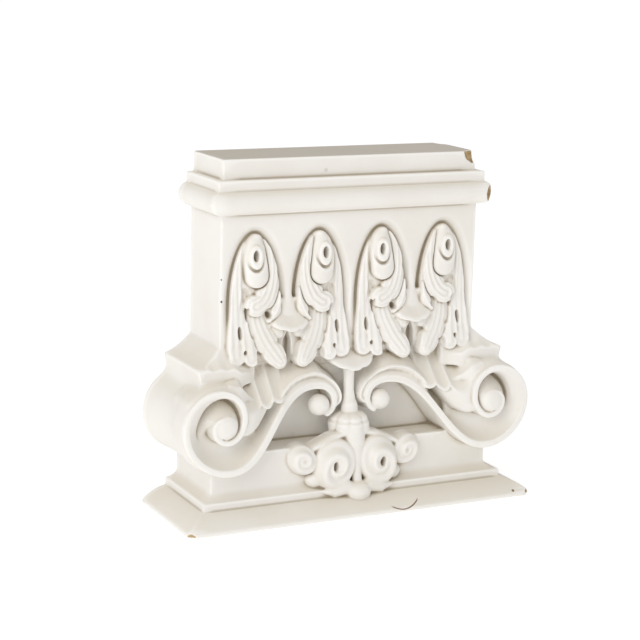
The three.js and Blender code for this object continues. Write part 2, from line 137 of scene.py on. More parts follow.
# Camera fitted to the photograph, in metres, degrees and millimetres of lens
CAMERA_PLACE = (-0.83516, -1.61781, 0.58019)
CAMERA_VIEW = (0.43672, 0.87473, -0.21004)
CAMERA_ROLL = 1.4256
CAMERA_LENS = 102.70


def ease(t):
    """Smooth step from 0 to 1."""
    t = np.clip(t, 0.0, 1.0)
    return t * t * (3.0 - 2.0 * t)


def soft_min(a, b, k):
    """Union of two fields, with a fillet of about k."""
    h = np.maximum(k - np.abs(a - b), 0.0) / k
    return np.minimum(a, b) - h * h * k * 0.25


def soft_max(a, b, k):
    """Overlap of two fields, with a rounded edge of about k."""
    h = np.maximum(k - np.abs(a - b), 0.0) / k
    return np.maximum(a, b) + h * h * k * 0.25


# Grid: x for one half, out from the back to the front, z from the floor up
xs = (np.arange(int(198.0 / STEP) + 1) + 0.5) * STEP
back_part = np.arange(BACK_OUT - BACK_STEP, -27.0, BACK_STEP)
outs = np.concatenate([back_part, np.arange(back_part[-1] + STEP, 54.5, STEP)])
zs = np.arange(-1.5 * STEP, TOP_Z + 2.0 * STEP, STEP)
field = None


class Window:
    """Part of the grid between two corners: x, out and z over its volume, x2 and z2 over its front."""

    def __init__(self, x0, x1, out0, out1, z0, z1):
        self.sx = slice(*np.searchsorted(xs, (x0, x1)))
        self.so = slice(*np.searchsorted(outs, (out0, out1)))
        self.sz = slice(*np.searchsorted(zs, (z0, z1)))
        self.x2, self.z2 = np.meshgrid(xs[self.sx], zs[self.sz], indexing="ij")
        self.x = xs[self.sx][:, None, None]
        self.out = outs[self.so][None, :, None]
        self.z = zs[self.sz][None, None, :]

    def add(self, distance, k=1.0):
        part = field[self.sx, self.so, self.sz]
        part[...] = soft_min(part, distance, k)

    def cut(self, distance, k=1.0):
        part = field[self.sx, self.so, self.sz]
        part[...] = soft_max(part, -distance, k)

    def slope(self, height):
        """Factor that turns a height above a surface into about a distance from it."""
        gx, gz = np.gradient(height, STEP)
        return 1.0 / np.sqrt(1.0 + np.minimum(gx * gx + gz * gz, 9.0))

    def sheet(self, top, edge, bottom=None, k=1.5):
        """Solid under a height drawn over x and z, inside an outline, down to a bottom if there is one."""
        distance = (self.out - top[:, None, :]) * self.slope(top)[:, None, :]
        if bottom is not None:
            distance = soft_max(distance, bottom[:, None, :] - self.out, k)
        return soft_max(distance, edge[:, None, :], k)


def along_path(x2, z2, stations):
    """Nearest place on a path of stations (x, z, ...) over a drawing: distance, side, share run, values."""
    stations = np.asarray(stations, float)
    best = np.full(x2.shape, 1e9)
    side = np.zeros(x2.shape)
    run = np.zeros(x2.shape)
    values = np.zeros((stations.shape[1] - 2,) + x2.shape)
    lengths = np.hypot(*(stations[1:, :2] - stations[:-1, :2]).T)
    starts = np.concatenate([[0.0], np.cumsum(lengths)])
    for i, length in enumerate(lengths):
        ax, az = stations[i, :2]
        ux, uz = (stations[i + 1, :2] - stations[i, :2]) / length
        px, pz = x2 - ax, z2 - az
        t = np.clip(px * ux + pz * uz, 0.0, length)
        dx, dz = px - t * ux, pz - t * uz
        distance = np.hypot(dx, dz)
        nearer = distance < best
        best = np.where(nearer, distance, best)
        side = np.where(nearer, px * uz - pz * ux, side)
        run = np.where(nearer, starts[i] + t, run)
        for v in range(len(values)):
            mix = stations[i, 2 + v] + (stations[i + 1, 2 + v] - stations[i, 2 + v]) * (t / length)
            values[v] = np.where(nearer, mix, values[v])
    return best, np.sign(side), run / starts[-1], values


def smooth_path(stations, pieces=5):
    """Catmull-Rom curve through stations of any number of values."""
    p = np.asarray(stations, float)
    p = np.vstack([2 * p[0] - p[1], p, 2 * p[-1] - p[-2]])
    t = (np.arange(pieces) / pieces)[:, None]
    rows = []
    for a, b, c, d in zip(p[:-3], p[1:-2], p[2:-1], p[3:]):
        rows.append(0.5 * (2 * b + (c - a) * t + (2 * a - 5 * b + 4 * c - d) * t ** 2
                           + (3 * b - a - 3 * c + d) * t ** 3))
    return np.vstack(rows + [p[-2][None, :]])


def polygon_distance(px, pz, corners):
    """Signed distance from points to a closed polygon, below zero inside."""
    corners = np.asarray(corners, float)
    best = np.full(np.broadcast_shapes(px.shape, pz.shape), 1e9)
    inside = np.zeros(best.shape, bool)
    for (ax, az), (bx, bz) in zip(corners, np.roll(corners, -1, axis=0)):
        ex, ez = bx - ax, bz - az
        wx, wz = px - ax, pz - az
        t = np.clip((wx * ex + wz * ez) / max(ex * ex + ez * ez, 1e-9), 0.0, 1.0)
        best = np.minimum(best, np.hypot(wx - ex * t, wz - ez * t))
        if az != bz:
            inside ^= ((az > pz) != (bz > pz)) & (px < ax + ex * (pz - az) / ez)
    return np.where(inside, -best, best)


def ellipsoid(w, centre, radii):
    """About the distance from an ellipsoid."""
    cx, cout, cz = centre
    rx, rout, rz = radii
    near = np.sqrt(((w.x - cx) / rx) ** 2 + ((w.out - cout) / rout) ** 2 + ((w.z - cz) / rz) ** 2)
    slope = np.sqrt(((w.x - cx) / rx ** 2) ** 2 + ((w.out - cout) / rout ** 2) ** 2
                    + ((w.z - cz) / rz ** 2) ** 2)
    return near * (near - 1.0) / np.maximum(slope, 1e-6)


def window_round(low, high, margin=4.0):
    """Window round the box between two corners of x, out and z."""
    limits = [(a - margin, b + margin) for a, b in zip(low, high)]
    return Window(*limits[0], *limits[1], *limits[2])


def add_ball(centre, radii, k=1.0):
    w = window_round(np.subtract(centre, radii), np.add(centre, radii))
    w.add(ellipsoid(w, centre, radii), k)


def cut_ball(centre, radii, k=1.0):
    w = window_round(np.subtract(centre, radii), np.add(centre, radii))
    w.cut(ellipsoid(w, centre, radii), k)


def add_cord(points, k=1.0):
    """Round bar through points of x, out, z and radius."""
    points = np.asarray(points, float)
    w = window_round(points[:, :3].min(0), points[:, :3].max(0), points[:, 3].max() + 3.0)
    distance = np.full((w.x.shape[0], w.out.shape[1], w.z.shape[2]), 1e3)
    for a, b in zip(points[:-1], points[1:]):
        e = b[:3] - a[:3]
        px, po, pz = w.x - a[0], w.out - a[1], w.z - a[2]
        t = np.clip((px * e[0] + po * e[1] + pz * e[2]) / (e @ e), 0.0, 1.0)
        gap = np.sqrt((px - e[0] * t) ** 2 + (po - e[1] * t) ** 2 + (pz - e[2] * t) ** 2)
        distance = np.minimum(distance, gap - (a[3] + (b[3] - a[3]) * t))
    w.add(distance, k)


def profile_corners():
    """Outline of wall, abacus and neck mouldings, as distance in front of the wall and height."""
    corners = [(INSIDE, 0.0), (ABACUS_OUT, 0.0), (ABACUS_OUT, ABACUS_EDGE)]
    for i in range(9):
        t = i / 8
        swell = 4 * t * (1 - t) * 2.2
        corners.append((ABACUS_OUT - 26.0 * t + swell * 0.5, ABACUS_EDGE + 14.0 * t + swell))
    for i in range(9):
        turn = i / 8 * math.pi / 2
        corners.append((DIE_OUT + COVE_OUT * (1 - math.sin(turn)), COVE_Z + COVE_HIGH * (1 - math.cos(turn))))
    corners += [(DIE_OUT, LEDGE_Z), (0.0, LEDGE_Z), (0.0, WALL_Z)]
    stop = math.acos((STRIP_OUT - TORUS_OUT + TORUS_RADIUS) / TORUS_RADIUS)
    for i in range(15):
        turn = -math.pi / 2 + i / 14 * (math.pi / 2 + stop)
        corners.append((TORUS_OUT - TORUS_RADIUS + TORUS_RADIUS * math.cos(turn),
                        WALL_Z + TORUS_RADIUS * (1 + math.sin(turn))))
    return corners + [(STRIP_OUT, STRIP_Z), (BLOCK_OUT, STRIP_Z), (BLOCK_OUT, TOP_Z), (INSIDE, TOP_Z)]


def make_block():
    """Field of the mouldings: front and sides share one profile, mitred at the corners."""
    reach = np.maximum(xs[:, None] - WALL_HALF, outs[None, :])
    steps = np.arange(-146.0, 58.0, 0.5)
    table = polygon_distance(steps[:, None], zs[None, :], profile_corners())
    place = (np.clip(reach, steps[0], steps[-2]) - steps[0]) / 0.5
    low = place.astype(int)
    part = (place - low)[:, :, None]
    block = table[low] * (1.0 - part) + table[low + 1] * part
    return np.maximum(block, (BACK_OUT - outs)[None, :, None])


def cut_bell():
    """Recess that leaves the bell behind the scrolls, and the slot under the smooth strip of each leaf."""
    w = Window(-1, BELL_HALF + 4, BELL_OUT - 5, 4, LEDGE_Z - 3, 172)
    outline = [(BELL_OUT, LEDGE_Z), (6, LEDGE_Z), (6, 166), (0, 163), (-6, 156), (-13, 146), (-17.5, 132),
               (BELL_OUT, 112)]
    bell = polygon_distance(w.out[0], w.z[0, 0][None, :], outline)[None, :, :]
    w.cut(soft_max(bell, w.x - BELL_HALF, 3.0), 1.5)
    w = Window(60, 80, -18, 14, 140, 192)
    half = 4.4 * ease((189.0 - w.z) / 14.0)
    w.cut(np.maximum(np.abs(w.x - LOWER_AXIS) - half, -13.0 - w.out), 1.5)


def niche_border(w):
    """Distance to the border of the nearest niche over a drawing, below zero inside."""
    spring = NICHE_TOP - NICHE_ARCH
    nearest = None
    for centre in NICHES:
        rise = np.maximum(w.z2 - spring, 0.0)
        radial = np.sqrt(((w.x2 - centre) / NICHE_HALF) ** 2 + (rise / NICHE_ARCH) ** 2)
        gx = (w.x2 - centre) / NICHE_HALF ** 2
        gz = rise / NICHE_ARCH ** 2
        edge = radial * (radial - 1.0) / np.maximum(np.sqrt(gx * gx + gz * gz), 1e-6)
        nearest = edge if nearest is None else np.minimum(nearest, edge)
    return nearest


def cut_niches():
    """Arched niches: the wall rolls over into a channel, with the body of the leaves inside it."""
    w = Window(-1, 143, -16, 6, 146, 296)
    border = niche_border(w)
    fade = 0.2 + 0.8 * ease((w.z2 - 176.0) / 42.0)
    floor = CHANNEL_DEEP * fade * (0.8 * ease((-LEAF_GAP - border) / 4.0) - ease((4.6 - border) / 9.8))
    carved = (w.out - floor[:, None, :]) * w.slope(floor)[:, None, :]
    w.cut(soft_max(-carved, border[:, None, :] - 4.4, 1.5), 1.2)


def tongue(stations, axis, direction, flutes=0, flute=0.0, gutter=1.2, thick=None, moat=0.0, teeth=0.0):
    """Lobe of a leaf along stations (u, z, out, half width), u running from the leaf's axis.

    Flutes are waves across it of height flute. The gutter lifts its sides over its middle. The moat is the
    depth of a groove round it, thick its thickness where it hangs free, and teeth the notches on each side.
    """
    path = smooth_path(stations)
    path[:, 0] = axis + direction * path[:, 0]
    reach = path[:, 3].max() + 4.0
    w = Window(path[:, 0].min() - reach, path[:, 0].max() + reach, path[:, 2].min() - 16.0,
               path[:, 2].max() + 9.0, path[:, 1].min() - reach, path[:, 1].max() + reach)
    distance, side, run, (out, half) = along_path(w.x2, w.z2, path)
    across = np.clip(distance / half, 0.0, 1.4) * side
    top = out + gutter * (across ** 2 - 0.45)
    if flutes:
        top = top + flute * np.cos(np.pi * flutes * across)
    top = top - 0.9 * np.clip(np.abs(across) - 0.72, 0, 1) ** 2 * half
    inset = niche_border(w) + LEAF_GAP * ease((w.z2 - 172.0) / 46.0)
    notch = 0.0
    if teeth:
        wave = np.abs(np.sin(np.pi * teeth * (run - 0.16 * np.abs(across))))
        notch = (1.0 - wave) ** 3 * ease((run - 0.25) / 0.3)
        top = top - 2.2 * notch * np.clip(np.abs(across) - 0.15, 0.0, 1.0)
    edge = soft_max(distance - half * (1.0 - 0.2 * notch), inset, 1.5)
    if moat:
        low = top - moat * (0.1 + 0.9 * run ** 1.6)
        w.cut(np.maximum(edge[:, None, :] - 1.4, low[:, None, :] - w.out), 0.8)
    bottom = None if thick is None else top - thick
    w.add(w.sheet(top, edge, bottom, 1.4), 0.5)


def lower_half_leaf(axis, direction):
    """Half of a leaf of the lower row, beside its smooth strip."""
    tongue([(30, 287, -3.5, 3.2), (19, 276, -0.8, 4.6), (12.5, 258, 1.2, 5.4), (10, 238, 2.8, 5.6),
            (11, 221, 4.4, 5.6), (15.5, 208, 6.0, 4.8), (22.5, 199, 5.6, 2.0)],
           axis, direction, flutes=2, flute=0.7, gutter=-1.4, moat=2.0)
    tongue([(29, 285, -2.0, 4), (21.5, 272, 0.8, 6), (19.0, 254, 2.6, 8), (21, 236, 4.4, 9.5),
            (27, 222, 6.2, 11), (35, 215.5, 6.8, 11.2), (37.5, 215, 6.6, 10.8)],
           axis, direction, flutes=4, flute=0.9, gutter=-1.6, moat=6.0, teeth=2.6)
    tongue([(34, 285, -1.0, 5), (36.5, 275, 2.6, 9.5), (37, 262, 5.0, 11.8), (36, 250, 6.6, 12.2),
            (35.5, 244.5, 7.0, 12)], axis, direction, gutter=-4.0, moat=6.0)


def upper_half_leaf(axis, direction):
    """Half of a leaf of the upper row, hanging past the lower leaves."""
    tongue([(46, 206, -2.0, 5), (53, 194, 2.4, 7), (59, 185.5, 4.6, 5.5)],
           axis, direction, gutter=-1.8, thick=9.0, moat=2.0)
    tongue([(23, 284, -4.5, 2.6), (15.5, 268, -1.2, 4.2), (13.2, 248, 0.2, 5.8), (13.0, 225, 1.0, 7.4),
            (13.2, 203, 2.6, 8.6), (13.2, 184, 5.0, 9.4), (12.5, 166, 9.8, 10.4)],
           axis, direction, flutes=3, flute=0.6, gutter=0.8, moat=0.8, teeth=3.5)
    tongue([(23.5, 228, -3.5, 3), (24.5, 208, 1.0, 6), (26, 188, 5.0, 8.2), (27, 173, 9.2, 8.8),
            (27.5, 163.5, 11.4, 8.4)],
           axis, direction, flutes=2, flute=0.7, gutter=0.4, thick=14.0, moat=1.0, teeth=2.5)
    tongue([(35, 212, -3.0, 8.5), (38, 194, 2.8, 10.8), (44, 179, 7.4, 11.4), (51.5, 167, 11.2, 11.0),
            (57, 159, 14.0, 8.6)],
           axis, direction, flutes=4, flute=0.7, gutter=-2.2, thick=17.0, moat=1.8, teeth=3.4)


def leaf_holes():
    """Drilled eyes and slits between the lobes."""
    for direction in (-1, 1):
        cut_ball((LOWER_AXIS + direction * 38.0, 4.0, 265.0), (3.0, 11.0, 6.0), 1.0)
        cut_ball((LOWER_AXIS + direction * 45.5, 1.0, 207.5), (1.7, 7.0, 8.0), 1.0)
        cut_ball((LOWER_AXIS + direction * 22.0, 1.0, 204.5), (2.4, 8.0, 3.6), 1.0)
    for axis, direction in UPPER_AXES:
        cut_ball((axis + direction * 16.6, 4.0, 188.5), (2.4, 9.0, 7.0), 0.8)
        cut_ball((axis + direction * 21.0, 8.0, 169.5), (1.8, 5.0, 2.6), 0.6)
        cut_ball((axis + direction * 34.0, 11.0, 163.5), (1.4, 8.0, 7.5), 0.6)


def eye_rings():
    """Raised rings round the eyes of the lower leaves."""
    for direction in (-1, 1):
        eye = LOWER_AXIS + direction * 38.0
        w = Window(eye - 14, eye + 14, -6, 14, 240, 286)
        x = (w.x2 - LOWER_AXIS) * direction
        radial = np.hypot(x - 37.6, (w.z2 - 264.5) / 1.6)
        ring = 7.4 - ((radial - 5.2) / 1.9) ** 2 * 2.2
        w.add(w.sheet(ring, radial - 7.6, None, 1.0), 1.0)
        groove = np.abs(radial - 8.9) - 1.0
        w.cut(np.maximum(groove[:, None, :], 3.2 - w.out), 1.0)


def leaf_strips():
    """Smooth strips on the axes of the lower leaves."""
    w = Window(55, 85, -10, 16, 196, 262)
    u = np.abs(w.x2 - LOWER_AXIS)
    spread = 3.4 + 5.0 * ease((226.0 - w.z2) / 26.0)
    top = 3.0 * ease((240.0 - w.z2) / 40.0) - 1.2 * (u / spread) ** 2
    w.add(w.sheet(top, soft_max(u - spread - 1.0, 197.0 - w.z2, 3.0), None, 2.0), 2.0)


def drooping_tip(axis, half, out, low, curl, length):
    """Tip of a leaf that bends forward and hangs, with its rim lowest in the middle."""
    w = Window(axis - half - 5, axis + half + 5, -12, out + 6, low - 5, low + curl + length + 6)
    u = (w.x2 - axis) / half
    fold = (1.0 - np.abs(np.sin(1.5 * np.pi * u + 0.5 * np.pi)) ** 0.6) * (np.abs(u) > 0.2)
    rim_z = low + curl * u * u + 1.4 * fold
    rim_out = 4.0 + (out - 4.0) * np.clip(1.0 - u * u, 0.0, 1.0) ** 0.7
    up = np.clip((w.z2 - rim_z) / length, 0.0, 1.0)
    top = rim_out * (1.0 - up) ** 1.2 - 1.2 * fold * (1.0 - up)
    edge = soft_max(rim_z - w.z2, (np.abs(u) - 1.0) * half, 4.0)
    w.add(w.sheet(top, edge, None, 3.0), 1.0)


def spiral(t):
    """Outer edge of the big coil after t quarter turns from its lowest point: centre x, centre z, radius."""
    drift = ease((t - 2.4) / 1.6)
    cx = BIG_CENTRE[0] + (EYE_CENTRE[0] - BIG_CENTRE[0]) * drift
    cz = BIG_CENTRE[1] + (EYE_CENTRE[1] - BIG_CENTRE[1]) * drift
    return cx, cz, BIG_RADIUS * COIL_RATIO ** t


def quarter_turns(x, z):
    """Quarter turns round the big coil from its lowest point, from 0 to 4."""
    return (np.degrees(np.arctan2(z - BIG_CENTRE[1], x - BIG_CENTRE[0])) + 90.0) % 360.0 / 90.0


def band_path(pieces=26):
    """Middle of the rim from the small coil's top to the big one's lowest point: x, z, out, half width."""
    slope = -math.log(COIL_RATIO) / (math.pi / 2)
    half = RIM_WIDTH / 2
    start = np.array([SMALL_CENTRE[0], SMALL_CENTRE[1] + SMALL_RADIUS / COIL_RATIO ** 2 - half])
    end = np.array([BIG_CENTRE[0], BIG_CENTRE[1] - BIG_RADIUS + half])
    pull = (BIG_CENTRE[0] - SMALL_CENTRE[0]) / 2
    first = start + np.array([pull, pull * slope])
    second = end - 0.93 * np.array([pull, pull * slope])
    t = np.linspace(0, 1, pieces)[:, None]
    points = (1 - t) ** 3 * start + 3 * (1 - t) ** 2 * t * first + 3 * (1 - t) * t * t * second + t ** 3 * end
    out = SMALL_OUT + (BIG_OUT - SMALL_OUT) * ease(t ** 0.85)
    return np.hstack([points, out, np.full_like(out, half)])


def small_coil_path(pieces=18):
    """Middle of the small coil's rim from its inner end to its top: x, z, out, half width."""
    rows = []
    for turns in np.linspace(0.4, 2.0, pieces):
        half = RIM_WIDTH / 2 * (0.7 + 0.15 * turns)
        radius = SMALL_RADIUS / COIL_RATIO ** turns - half
        angle = -math.pi / 2 - turns * math.pi / 2
        rows.append((SMALL_CENTRE[0] + radius * math.cos(angle), SMALL_CENTRE[1] + radius * math.sin(angle),
                     SMALL_OUT, half))
    return np.array(rows)


def channel_depth(s):
    """Depth between two turns of the scroll: steep at the outer rim, level at the foot of the inner one."""
    return 17.0 * (1.0 - (1.0 - s) ** 2.2)


def add_scroll_band():
    """Rim of the small coil and the band, with the fillet and the deep channel above it."""
    path = np.vstack([small_coil_path()[:-1], band_path()])
    w = Window(4, 156, BELL_OUT - 3, 44, 50, 158)
    distance, side, run, (out, half) = along_path(w.x2, w.z2, path)
    w.add(w.sheet(out, distance - half, None, 1.2), 0.8)

    upper = np.vstack([small_coil_path()[9:-1], band_path()])
    distance, side, run, (out, half) = along_path(w.x2, w.z2, upper)
    above = -distance * side
    near_coil = ease((44.0 - w.x2) / 24.0)
    width = 11.0 - 5.5 * near_coil - 4.0 * ease((w.x2 - 60.0) / 30.0)
    gap = (above - half) / width
    fillet_out = out + (np.maximum(13.0, out) + 0.6 - out) * (1.0 - near_coil)
    hollow = out + (fillet_out - out) * ease((gap - 0.45) / 0.45)
    hollow = hollow - 3.0 * np.sin(np.pi * np.clip(gap, 0, 1)) ** 1.2
    bead = 1.5 * np.exp(-((above - half - width) / 1.1) ** 2) * (1.0 - near_coil)
    back = np.maximum(gap - 1.0, 0.0) * width
    fillet = hollow + bead - (1.35 + 2.4 * near_coil) * back - 0.035 * back ** 2
    channel_width = 9.0 + 14.0 * ease((w.x2 - 105.0) / 46.0)
    depth = np.clip((above - half) / channel_width, 0.0, 1.0)
    channel = out - 1.0 - channel_depth(depth) * (1.0 + 0.4 * ease((124.0 - w.x2) / 24.0))
    top = fillet + (channel - fillet) * ease((w.x2 - 80.0) / 17.0)
    edge = soft_max(half - 3.0 - above, w.x2 - 153.0, 2.0)
    edge = soft_max(edge, 102.0 - w.z2 - 80.0 * ease((w.x2 - 44.0) / 20.0), 3.0)
    w.add(w.sheet(top, edge, None, 2.0), 1.0)


def add_big_coil():
    """Rim, hollow and eye of the big coil, and the bolster behind it."""
    w = Window(92, 197, BELL_OUT - 3, 48, 48, 146)
    turn = quarter_turns(w.x2, w.z2)
    cx, cz, radius = spiral(turn)
    width = RIM_WIDTH * (1.0 - 0.05 * turn)
    outer = np.hypot(w.x2 - cx, w.z2 - cz) - radius
    turn2 = turn + 4.0
    cx2, cz2, radius2 = spiral(turn2)
    width2 = RIM_WIDTH * (1.0 - 0.05 * turn2) * (1.0 - 0.75 * ease((turn2 - 4.4) / 1.4))
    outer2 = np.hypot(w.x2 - cx2, w.z2 - cz2) - radius2
    eye = np.hypot(w.x2 - EYE_CENTRE[0], w.z2 - EYE_CENTRE[1]) - EYE_RADIUS

    from_rim = np.maximum(-(outer + width), 0.0)
    second = ease((1.9 - turn) / 0.9)
    to_core = np.maximum(eye + (outer2 - eye) * second, 0.0)
    s = from_rim / np.maximum(from_rim + to_core, 1e-3)
    trough = channel_depth(s)
    reach = 9.5 * ease((2.4 - turn) / 1.4) + 0.6
    roll = 6.5 * (from_rim / reach) ** 2 + 7.0 * np.maximum(from_rim - reach, 0.0)
    cone = 25.0 * (to_core / 15.0) ** 0.95 - 2.0 * (1 - second)
    lowness = np.minimum(np.minimum(roll, cone), 26.0)
    lowness = lowness + (trough - lowness) * ease((1.15 - turn) / 0.75)
    floor = BIG_OUT - 1.0 - lowness

    body = w.sheet(floor, outer, None, 1.2)
    rim = np.abs(outer + width / 2) - width / 2
    rim_top = BIG_OUT + 1.5 * ease(turn - 3.0)
    rim2 = np.abs(outer2 + width2 / 2) - width2 / 2
    rim2_top = BIG_OUT + 1.5 + ease(turn2 - 4.0)
    rim2 = np.where(turn2 < 5.75, rim2, 9.0)
    coil = np.minimum(body, w.sheet(rim_top, rim, None, 1.2))
    coil = soft_min(coil, w.sheet(rim2_top, rim2, None, 1.2), 0.8)
    dome = BIG_OUT + 4.6 - 0.012 * (eye + EYE_RADIUS) ** 2 - 1.4 * ease((eye + 5.0) / 5.0)
    coil = soft_min(coil, w.sheet(dome, eye, None, 1.5), 1.0)
    taper = 0.25 * np.maximum(8.0 - w.out, 0.0)
    coil = np.maximum(coil, outer[:, None, :] + taper)
    w.add(coil, 0.8 + 7.0 * ease((w.z - 128.0) / 8.0))

    w = Window(100, 197, BACK_OUT - 3, 30, 46, 150)
    v = np.clip((26.0 - w.out) / (26.0 - BACK_OUT), 0.0, 1.0)
    radius = BOLSTER_RADIUS - 3.0 * np.sin(np.pi * v) ** 0.8
    barrel = np.hypot(w.x - BOLSTER_CENTRE[0], w.z - BOLSTER_CENTRE[1]) - radius
    turn = quarter_turns(w.x, w.z)
    rim = np.hypot(w.x - BIG_CENTRE[0], w.z - BIG_CENTRE[1]) - spiral(turn)[2]
    barrel = soft_max(barrel, w.out - 10.0 - 13.0 * ease((rim + 11.0) / 6.0) * ease((2.9 - turn) / 0.4), 2.0)
    barrel = np.maximum(barrel, BACK_OUT - w.out)
    w.add(barrel, 2.0 + 9.0 * ease((w.z - 118.0) / 12.0))


def add_shoulder():
    """Body between the deep channel and the calyx, running into the coil's inner turn."""
    w = Window(84, 168, BELL_OUT - 3, 44, 74, 150)
    outline = [(90, 124), (95, 116), (102.5, 106), (110, 97), (118, 92), (126, 90), (133, 90.5), (139, 92),
               (141, 95), (136, 100), (131, 108), (134, 120), (142, 134), (140, 146),
               (96, 146), (89, 136), (90, 124)]
    edge = polygon_distance(w.x2, w.z2, smooth_path(outline, 4)[:-1])
    inner = np.clip(-edge / 16.0, 0.0, 1.0)
    toward = ease((w.x2 - 92.0) / 40.0)
    top = 15.0 + 13.0 * toward + 6.5 * np.sqrt(np.clip(1 - (1 - inner) ** 2, 0, 1))
    top = top - 20.0 * ease((w.z2 - 110.0) / 26.0) * ease((134.0 - w.x2) / 14.0)
    top = top - 12.0 * ease((w.z2 - 118.0) / 28.0)
    w.add(w.sheet(top, edge, None, 4.0), 1.0)


def add_calyx():
    """Leaf with a scalloped end lying over the band."""
    w = Window(72, 130, -20, 36, 110, 156)
    lobe = np.abs(np.sin(np.pi * (w.x2 - 77.5) / 15.0)) ** 0.7
    low = 120.0 - 3.2 * ease((w.x2 - 86.0) / 16.0) - 5.0 * (lobe - 0.5)
    up = np.clip((w.z2 - low) / 34.0, 0.0, 1.0)
    beyond = ease((np.abs(w.x2 - 100.0) - 15.0) / 11.0)
    end_out = 21.5 + 6.5 * ease((w.x2 - 84.0) / 24.0) - 7.0 * beyond
    top = end_out - (end_out + 10.0) * up ** 0.9 + 2.4 * (lobe - 0.6) * (1.0 - up) ** 2
    edge = soft_max(low - w.z2, np.abs(w.x2 - 100.0) - 25.0, 3.0)
    w.add(w.sheet(top, edge, top - 10.0, 2.5), 1.5)


def add_lip():
    """Lip of the corner leaf, plain along the side and softly scalloped along the front."""
    w = Window(100, 180, BACK_OUT - 3, 26, 126, 184)
    side_reach, front_reach = 28.4, 15.5
    wave = 0.7 * np.cos((w.x - 118.0) * (2 * np.pi / 15.0))
    front = w.out / (0.5 + front_reach * ease((w.x - 100.0) / 30.0))
    side = (w.x - WALL_HALF) / side_reach
    on_side = side > front
    reach = np.maximum(front, side)
    low = 155.6 - np.where(on_side, 0.0, 7.0 * ease((138.0 - w.x) / 24.0) - wave)
    slope_top = (w.z - (low + 19.0 * (1.0 - reach) - 2.5 * np.sin(np.pi * np.clip(reach, 0, 1)))) * 0.82
    undercut = 0.115 * np.clip((low - w.z) / 16.0, 0, 2)
    face = (reach - 1.0 + undercut) * np.where(on_side, side_reach, front_reach)
    cove = np.where(on_side, 137.0, 137.0 + 2.0 * (1 - np.clip(reach, 0, 1))) - w.z
    lip = soft_max(soft_max(slope_top, face, 1.2), cove, 3.0)
    lip = soft_max(lip, 106.0 - w.x, 3.0)
    lip = np.maximum(lip, BACK_OUT - w.out)
    w.add(lip, 1.5)

    # Groove along the lip's mitre
    start, end = np.array((146.0, 3.5, 173.0)), np.array((164.0, 12.5, 159.5))
    s = Window(140, 170, -4, 20, 152, 180)
    e = end - start
    px, po, pz = s.x - start[0], s.out - start[1], s.z - start[2]
    t = np.clip((px * e[0] + po * e[1] + pz * e[2]) / (e @ e), 0.0, 1.0)
    across = np.hypot(px - e[0] * t, po - e[1] * t)
    s.cut(np.maximum(across - 0.9, np.abs(pz - e[2] * t) - 4.5), 0.8)


def add_stem_and_bud():
    """Stem from the middle leaf's tip down to the ribbed bud."""
    stem = [(0.0, 0.0, 146.0, 6.5), (0.0, 0.0, 134.0, 5.4), (0.0, 0.5, 120.0, 5.4), (0.0, 1.5, 110.0, 6.8),
            (0.0, 3.0, 104.0, 8.4), (0.0, 3.0, 100.0, 9.0)]
    add_cord(stem, 1.5)
    w = Window(-1, 30, -10, 32, 62, 106)
    angle = np.arctan2(w.x, w.out - 2.0)
    ribs = 2.6 * np.abs(np.cos(angle * 4.0)) ** 0.5
    height = np.clip((w.z - BUD_Z) / BUD_HALF, -1, 1)
    band = 1.8 * np.exp(-((w.z - 90.0) / 1.1) ** 2) + 1.0 * np.exp(-((w.z - 74.5) / 1.2) ** 2)
    radius = BUD_RADIUS * np.clip(1 - np.abs(height) ** 2.6, 0.02, 1) ** 0.5 - 2.6 + ribs - band
    bud = (np.hypot(w.x, w.out - 2.0) - radius) * 0.75
    w.add(soft_max(bud, np.abs(w.z - BUD_Z) - 14.8, 3.0), 1.0)


def curl(cx, cz, half_x, half_z, base, high, turns, ridge, lean, k=1.0):
    """Rolled petal: an oval dome with a ridge that winds in to its eye."""
    w = Window(cx - half_x - 5, cx + half_x + 5, base - 11, base + high + 5, cz - half_z - 6, cz + half_z + 6)
    x = (w.x2 - cx + lean * (w.z2 - cz)) / half_x
    up = (w.z2 - cz) / half_z
    radial = np.hypot(x, up)
    twist = radial * turns + np.arctan2(up, x) / (2 * np.pi)
    dome = base + high * np.clip(1.0 - radial ** 3.2, 0, 1) ** 0.5
    wave = np.cos(2 * np.pi * twist)
    winding = ridge * (wave - 0.25 * (1.0 - wave) ** 2)
    winding = winding * ease((radial - 0.18) / 0.2) * ease((1.04 - radial) / 0.14)
    dip = 2.6 * ridge * np.exp(-(radial / 0.2) ** 2)
    w.add(w.sheet(dome + winding - dip, (radial - 1.0) * min(half_x, half_z), None, 2.0), k)


